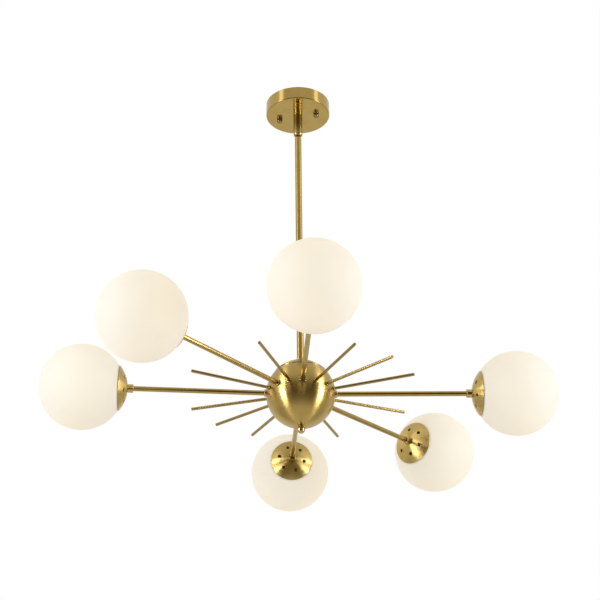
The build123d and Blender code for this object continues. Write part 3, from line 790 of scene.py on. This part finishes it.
class CHANDELIER_OT_cups(bpy.types.Operator):
    """Six domed cups, each with a ring of vents"""

    bl_idname = "chandelier.cups"
    bl_label = "Vented cups"

    vents = 6
    border_steps = 6
    crown_steps = 3
    brim_steps = 4
    belt_width = 1.4
    belt_parts = (0.3, 0.65, 1.0)

    def execute(self, context):
        sizes = context.scene.chandelier_sizes
        mesh = self.cup(sizes, lamp_places(sizes))
        for number, where in arm_frames(sizes):
            put(f"vented_cup_{number}", mesh, ["cup_brass"], where, "fixture", "satin_brass",
                f"cup_{number}")
        return {"FINISHED"}

    def cup(self, sizes, lamp):
        """A dome of sheet brass: two skins with vents through both, joined at rim and bore."""
        shaper = bmesh.new()
        vent_in = sizes.vent_circle / 2 - sizes.vent_diameter * self.belt_width
        vent_out = sizes.vent_circle / 2 + sizes.vent_diameter * self.belt_width
        bore = sizes.cup_bore / 2
        flat = sizes.cup_flat / 2
        rim = sizes.cup_diameter / 2
        floor = lamp.flat_at + sizes.cup_wall
        inner_flat = math.sqrt(lamp.inside ** 2 - (lamp.dome_at - floor) ** 2)

        def outside(radius):
            return lamp.dome_at - math.sqrt(lamp.dome ** 2 - radius ** 2)

        def inside(radius):
            return lamp.dome_at - math.sqrt(lamp.inside ** 2 - radius ** 2)

        def over(first, last, steps, skin):
            radii = [first + (last - first) * step / steps for step in range(steps + 1)]
            return [Vector((radius, skin(radius))) for radius in radii]

        edge = sizes.cup_wall * 0.4
        lip_out = rim - edge * 3
        lip_in = lamp.rim_inside - edge * 3
        crown = [Vector((bore, floor)), Vector((bore, lamp.flat_at))]
        crown += over(flat, vent_in, self.crown_steps, outside)
        lip = rounded([
            (lip_out, outside(lip_out), 0),
            (rim, lamp.rim_at, edge),
            (lamp.rim_inside, lamp.rim_at, edge),
            (lip_in, inside(lip_in), 0),
        ])
        brim = over(vent_out, lip_out, self.brim_steps, outside)[:-1] + lip
        brim += over(lip_in, vent_out, self.brim_steps, inside)[1:]
        hollow = over(vent_in, inner_flat, self.crown_steps, inside) + [Vector((bore, floor))]
        for outline in (crown, brim, hollow):
            self.lay_rings(shaper, outline)
        holes = [
            self.lay_vents(shaper, sizes, vent_in, vent_out, skin, into)
            for skin, into in ((outside, sizes.vent_edge), (inside, -sizes.vent_edge))
        ]
        for outer, inner in zip(*holes):
            skin_between(shaper, outer, inner)
        return finished_mesh("vented_cup", shaper)

    def lay_rings(self, shaper, outline):
        """Rings of faces along an outline."""
        rings = []
        angles = [math.tau * step / AROUND for step in range(AROUND)]
        for radius, height in outline:
            ring = [(radius * math.cos(angle), radius * math.sin(angle), height) for angle in angles]
            rings.append([shaper.verts.new(spot) for spot in ring])
        for low, high in zip(rings, rings[1:]):
            skin_between(shaper, low, high)

    def lay_vents(self, shaper, sizes, first, last, skin, into):
        """A belt of one skin with a chamfered hole in each sector. Gives back the holes' loops."""
        loops = []
        across = AROUND // self.vents
        vent = sizes.vent_diameter / 2
        for number in range(self.vents):
            middle = math.tau * number / self.vents
            centre = Vector((math.cos(middle), math.sin(middle))) * sizes.vent_circle / 2
            border = self.sector_border(middle, first, last, across)
            rings = []
            for part in (0.0, sizes.vent_edge, *self.belt_parts):
                ring = []
                for point in border:
                    away = (point - centre).normalized()
                    start = centre + away * vent
                    on_edge = part <= sizes.vent_edge
                    spot = start + away * part if on_edge else start.lerp(point, part)
                    drop = into if part == 0.0 else 0.0
                    ring.append(shaper.verts.new((spot.x, spot.y, skin(spot.length) + drop)))
                rings.append(ring)
            for low, high in zip(rings, rings[1:]):
                skin_between(shaper, low, high)
            loops.append(rings[0])
        return loops

    def sector_border(self, middle, first, last, across):
        """The points round one sector of the belt, in order."""
        half = math.pi / self.vents
        steps = [index / across for index in range(across)]
        rise = [index / self.border_steps for index in range(self.border_steps)]
        path = [(first, middle - half + 2 * half * t) for t in steps]
        path += [(first + (last - first) * t, middle + half) for t in rise]
        path += [(last, middle + half - 2 * half * t) for t in steps]
        path += [(last - (last - first) * t, middle - half) for t in rise]
        return [Vector((radius * math.cos(angle), radius * math.sin(angle))) for radius, angle in path]


class CHANDELIER_OT_globes(bpy.types.Operator):
    """Six opal globes with a ground lip at the mouth"""

    bl_idname = "chandelier.globes"
    bl_label = "Opal globes"

    outer_steps = 48
    inner_steps = 32
    ground_lip = ((0.3, 0.1), (0.0, 0.6))

    def execute(self, context):
        sizes = context.scene.chandelier_sizes
        outside = sizes.globe_diameter / 2
        inside = outside - sizes.globe_wall
        mouth = sizes.globe_mouth / 2
        reach = sizes.globe_reach
        lip = sizes.globe_lip
        outer_end = math.pi - math.asin((mouth + lip) / outside)
        inner_end = math.pi - math.asin((mouth + lip) / inside)
        lip_out = reach - math.sqrt(outside ** 2 - mouth ** 2)
        lip_in = reach - math.sqrt(inside ** 2 - mouth ** 2)
        outline = arc(reach, outside, 0, outer_end, self.outer_steps)
        outline += [Vector((mouth + lip * wide, lip_out + lip * deep)) for wide, deep in self.ground_lip]
        way_back = reversed(self.ground_lip)
        outline += [Vector((mouth + lip * wide, lip_in - lip * deep)) for wide, deep in way_back]
        outline += arc(reach, inside, inner_end, 0, self.inner_steps)
        ball = turn("opal_globe", outline)
        middle = Vector((0, 0, reach))
        paint(ball, lambda spot: int((spot - middle).length < outside - sizes.globe_wall / 2))
        coats = ["opal_shade", "opal_inside"]
        for number, where in arm_frames(sizes):
            node = f"globe_{number}"
            put(f"opal_globe_{number}", ball, coats, where, node, "opal_glass", node)
        return {"FINISHED"}


class CHANDELIER_OT_lampholders(bpy.types.Operator):
    """The lampholders, their springs and the screw-base bulbs"""

    bl_idname = "chandelier.lampholders"
    bl_label = "Lampholders and bulbs"

    thread_steps = 8
    glass_start = math.radians(128.0)
    glass_steps = 24
    shoulder = ((1.0, 0.0), (1.01, 0.1), (1.05, 0.25), (1.13, 0.39))

    def execute(self, context):
        dress("porcelain", "lampholders")
        dress("polished_brass", "socket_contacts")
        dress("plated_steel", "socket_nipples")
        # Nearly black springs, partly as painted shade inside the cups seen through the vents.
        dress("blued_steel", "globe_springs")
        sizes = context.scene.chandelier_sizes
        bulb = self.bulb(sizes)
        coats = ["plated_steel", "black_glass", "nylon", "frosted_bulb"]
        for number, where in arm_frames(sizes):
            node = f"bulb_{number}"
            put(f"screw_bulb_{number}", bulb, coats, where, node, "bulb_white", node)
        return {"FINISHED"}

    def bulb(self, sizes):
        """A frosted ball bulb with a rolled thread, a collar and a contact at its tip."""
        tip = sizes.bulb_tip / 2
        tip_at = sizes.bulb_tip_at
        tip_end = tip_at + tip * 0.3
        base = sizes.bulb_base / 2
        base_at = sizes.bulb_base_at
        collar = sizes.bulb_skirt / 2
        collar_at = sizes.bulb_skirt_at
        collar_end = collar_at + sizes.bulb_skirt_length
        neck = sizes.bulb_neck / 2
        ball = sizes.bulb_diameter / 2
        middle = sizes.bulb_end - ball
        thread_end = collar_at - sizes.bulb_pitch / 2
        steps = round((thread_end - base_at) / sizes.bulb_pitch * self.thread_steps)

        def thread(radius, height, angle):
            if not base_at < height < thread_end or radius < base * NEARLY:
                return 0.0
            wave = math.cos(math.tau * height / sizes.bulb_pitch - angle)
            return -sizes.bulb_thread * (0.5 - 0.5 * wave)

        outline = [Vector((0, tip_at)), Vector((tip * 0.7, tip_at + tip * 0.05)), Vector((tip, tip_end))]
        outline += [Vector((tip * 1.05, tip_end)), Vector((base - sizes.bulb_thread * 2, base_at))]
        levels = [base_at + (thread_end - base_at) * step / steps for step in range(steps + 1)]
        outline += [Vector((base, level)) for level in levels]
        outline += rounded([
            (base, collar_at, 0),
            (collar, collar_at, collar * 0.03),
            (collar, collar_end, collar * 0.03),
            (neck, collar_end, 0),
        ])
        outline += [Vector((neck * wide, collar_end + ball * up)) for wide, up in self.shoulder]
        outline += arc(middle, ball, self.glass_start, 0, self.glass_steps)

        def coat(spot):
            """The number of the finish: cap, insulator, collar or glass."""
            if tip_end < spot.z < base_at:
                return 1
            if spot.z > collar_end:
                return 3
            return 2 if spot.z > collar_at else 0

        return paint(turn("screw_bulb", outline, around=AROUND_SMALL, shift=thread), coat)


class CHANDELIER_OT_stage(bpy.types.Operator):
    """The pale floor, the soft studio light and the camera"""

    bl_idname = "chandelier.stage"
    bl_label = "Stage"

    floor_grey = (0.85, 0.85, 0.85)
    floor_roughness = 0.9
    sensor_width = 36.0
    # Where the world is dark: places from minus one to one, each with its share of dark.
    front_sides = ((0.65, 0.0), (0.80, 1.0))
    front_heights = ((0.06, 0.0), (0.20, 1.0), (0.63, 1.0), (0.82, 0.0))
    dim_sides = ((0.10, 0.0), (0.22, 1.0))
    dim_heights = ((0.05, 0.0), (0.15, 0.4), (0.30, 0.4), (0.42, 0.0))

    def execute(self, context):
        scene = context.scene
        stage = scene.chandelier_stage
        scene.view_settings.view_transform = "Standard"
        self.floor(scene, stage)
        self.world(scene, stage)
        self.lamps(scene, stage)
        self.camera(scene, stage)
        return {"FINISHED"}

    def shown(self, tree):
        """Two masks: straight rays alone, and with them mirrored rays and those through glass."""
        rays = add(tree, "ShaderNodeLightPath").outputs
        straight = rays["Is Camera Ray"]
        mirrored = combine(tree, "MAXIMUM", rays["Is Glossy Ray"], rays["Is Transmission Ray"])
        return straight, combine(tree, "MAXIMUM", straight, mirrored)

    def floor(self, scene, stage):
        """A pale disc: white to the eye, and as bright as the walls in what brass mirrors."""
        mesh = turn("floor", [Vector((0, 0)), Vector((stage.floor_radius, 0))])
        floor = bpy.data.objects.new("floor", mesh)
        scene.collection.objects.link(floor)
        floor.location.z = -stage.floor_depth
        fixed = {"Base Color": rgba(self.floor_grey), "Roughness": self.floor_roughness}
        material, tree, shader = new_finish("pale_floor", fixed)
        straight, either = self.shown(tree)
        seen = blend(tree, straight, rgba(stage.surround), rgba(WHITE))
        white = add(tree, "ShaderNodeEmission", {"Color": seen, "Strength": 1.0})
        mix = add(tree, "ShaderNodeMixShader", {0: either, 1: shader.outputs[0], 2: white.outputs[0]})
        tree.links.new(mix.outputs[0], tree.nodes["Material Output"].inputs["Surface"])
        mesh.materials.append(material)

    def world(self, scene, stage):
        """White to the eye, with pale walls and a dark front in what brass mirrors."""
        world = bpy.data.worlds.new("studio")
        world.use_nodes = True
        scene.world = world
        tree = world.node_tree
        soft = tree.nodes["Background"]
        soft.inputs["Strength"].default_value = stage.ambient
        soft.inputs["Color"].default_value = rgba(stage.ambient_tone)
        way = add(tree, "ShaderNodeTexCoord").outputs["Generated"]
        front = Vector((math.sin(-stage.yaw), -math.cos(stage.yaw), 0))
        facing = add(tree, "ShaderNodeVectorMath", {0: way, 1: front}, operation="DOT_PRODUCT")
        across = facing.outputs["Value"]
        rise = add(tree, "ShaderNodeSeparateXYZ", {0: way}).outputs["Z"]
        sides = self.bands(tree, across, self.front_sides)
        heights = self.bands(tree, rise, self.front_heights)
        dark = combine(tree, "MULTIPLY", sides, heights)
        sides = self.bands(tree, across, self.dim_sides)
        heights = self.bands(tree, rise, self.dim_heights)
        dim = combine(tree, "MULTIPLY", sides, heights)
        shade = combine(tree, "MAXIMUM", dark, dim)
        walls = blend(tree, shade, rgba(stage.surround), rgba(stage.front))
        straight, either = self.shown(tree)
        seen = blend(tree, straight, walls, rgba(WHITE))
        backdrop = add(tree, "ShaderNodeBackground", {"Color": seen, "Strength": 1.0})
        mix = add(tree, "ShaderNodeMixShader", {0: either, 1: soft.outputs[0], 2: backdrop.outputs[0]})
        tree.links.new(mix.outputs[0], tree.nodes["World Output"].inputs["Surface"])

    def bands(self, tree, value, stops):
        """Grey steps over a value that runs from minus one to one."""
        full = {"Value": value, "From Min": -1.0, "From Max": 1.0}
        spread = add(tree, "ShaderNodeMapRange", full)
        ramp = add(tree, "ShaderNodeValToRGB", {"Fac": spread.outputs["Result"]})
        grey_steps(ramp, stops)
        return ramp.outputs["Color"]

    def lamps(self, scene, stage):
        """At each side bright, tall and high strips for the brass, and a soft light for the globes."""
        width = stage.strip_width
        soft_side = stage.soft_size
        for side, angle in (("left", stage.left_angle), ("right", stage.right_angle)):
            beside = partial(self.lamp, scene, side, angle)
            strip = beside("strip", stage.strip_away, width, stage.strip_height, stage.strip_glow)
            tall = beside("tall", stage.tall_away, width, stage.tall_height, stage.tall_glow)
            high = beside("high", stage.high_away, width, stage.high_height, stage.high_glow)
            high.location.z += (stage.strip_height + stage.high_height) / 2
            for holder in (strip, tall, high):
                holder.visible_diffuse = False
            self.keep_off(strip, "canopy")
            soft = beside("soft", stage.soft_away, soft_side, soft_side, stage.soft_glow)
            soft.visible_glossy = False
            soft.data.color = stage.soft_tone

    def lamp(self, scene, side, angle, kind, away, width, height, glow):
        """An area lamp that faces the hub from one side, as bright as its glow whatever its size."""
        name = f"{kind}_{side}"
        lamp = bpy.data.lights.new(name, "AREA")
        lamp.shape = "RECTANGLE"
        lamp.size = width
        lamp.size_y = height
        lamp.energy = glow * math.pi * width * height
        holder = bpy.data.objects.new(name, lamp)
        scene.collection.objects.link(holder)
        target = Vector((0, 0, -scene.chandelier_sizes.drop))
        holder.location = target + Vector((math.sin(angle), -math.cos(angle), 0)) * away
        holder.rotation_euler = (target - holder.location).to_track_quat("-Z", "Y").to_euler()
        holder.visible_camera = False
        return holder

    def keep_off(self, holder, node):
        """Keep a lamp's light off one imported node, as a flag does in a studio."""
        flagged = bpy.data.collections.new(f"{holder.name}_flag")
        flagged.objects.link(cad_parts[node])
        flagged.collection_objects[0].light_linking.link_state = "EXCLUDE"
        holder.light_linking.receiver_collection = flagged

    def camera(self, scene, stage):
        """The camera at the photograph's viewing angle."""
        data = bpy.data.cameras.new("camera")
        data.lens = stage.lens
        data.sensor_width = self.sensor_width
        camera = bpy.data.objects.new("camera", data)
        scene.collection.objects.link(camera)
        heading = Matrix.Rotation(-stage.yaw, 4, "Z")
        tip = Matrix.Rotation(math.pi / 2 + stage.pitch, 4, "X")
        lean = Matrix.Rotation(stage.roll, 4, "Z")
        camera.matrix_world = Matrix.Translation(stage.eye) @ heading @ tip @ lean
        scene.camera = camera


OPERATORS = (
    CHANDELIER_OT_hub,
    CHANDELIER_OT_stem,
    CHANDELIER_OT_spokes,
    CHANDELIER_OT_arms,
    CHANDELIER_OT_cups,
    CHANDELIER_OT_globes,
    CHANDELIER_OT_lampholders,
    CHANDELIER_OT_stage,
)
SETTINGS = {
    "chandelier_sizes": ChandelierSizes,
    "chandelier_finishes": ChandelierFinishes,
    "chandelier_stage": ChandelierStage,
}


class CHANDELIER_PT_panel(bpy.types.Panel):
    """Lists the makers of the pieces and their settings"""

    bl_idname = "CHANDELIER_PT_panel"
    bl_label = "Chandelier"
    bl_space_type = "VIEW_3D"
    bl_region_type = "UI"
    bl_category = "Chandelier"

    def draw(self, context):
        for operator in OPERATORS:
            self.layout.operator(operator.bl_idname)
        for group in SETTINGS:
            settings = getattr(context.scene, group)
            box = self.layout.box()
            for field in settings.__annotations__:
                box.prop(settings, field)


CLASSES = (*SETTINGS.values(), *OPERATORS, CHANDELIER_PT_panel)


def register():
    for kind in CLASSES:
        bpy.utils.register_class(kind)
    for group, kind in SETTINGS.items():
        setattr(bpy.types.Scene, group, bpy.props.PointerProperty(type=kind))


def unregister():
    for group in SETTINGS:
        delattr(bpy.types.Scene, group)
    for kind in reversed(CLASSES):
        bpy.utils.unregister_class(kind)


def main():
    register()
    bpy.ops.chandelier.hub()
    bpy.ops.chandelier.stem()
    bpy.ops.chandelier.spokes()
    bpy.ops.chandelier.arms()
    bpy.ops.chandelier.cups()
    bpy.ops.chandelier.globes()
    bpy.ops.chandelier.lampholders()
    bpy.ops.chandelier.stage()


if __name__ == "__main__":
    main()
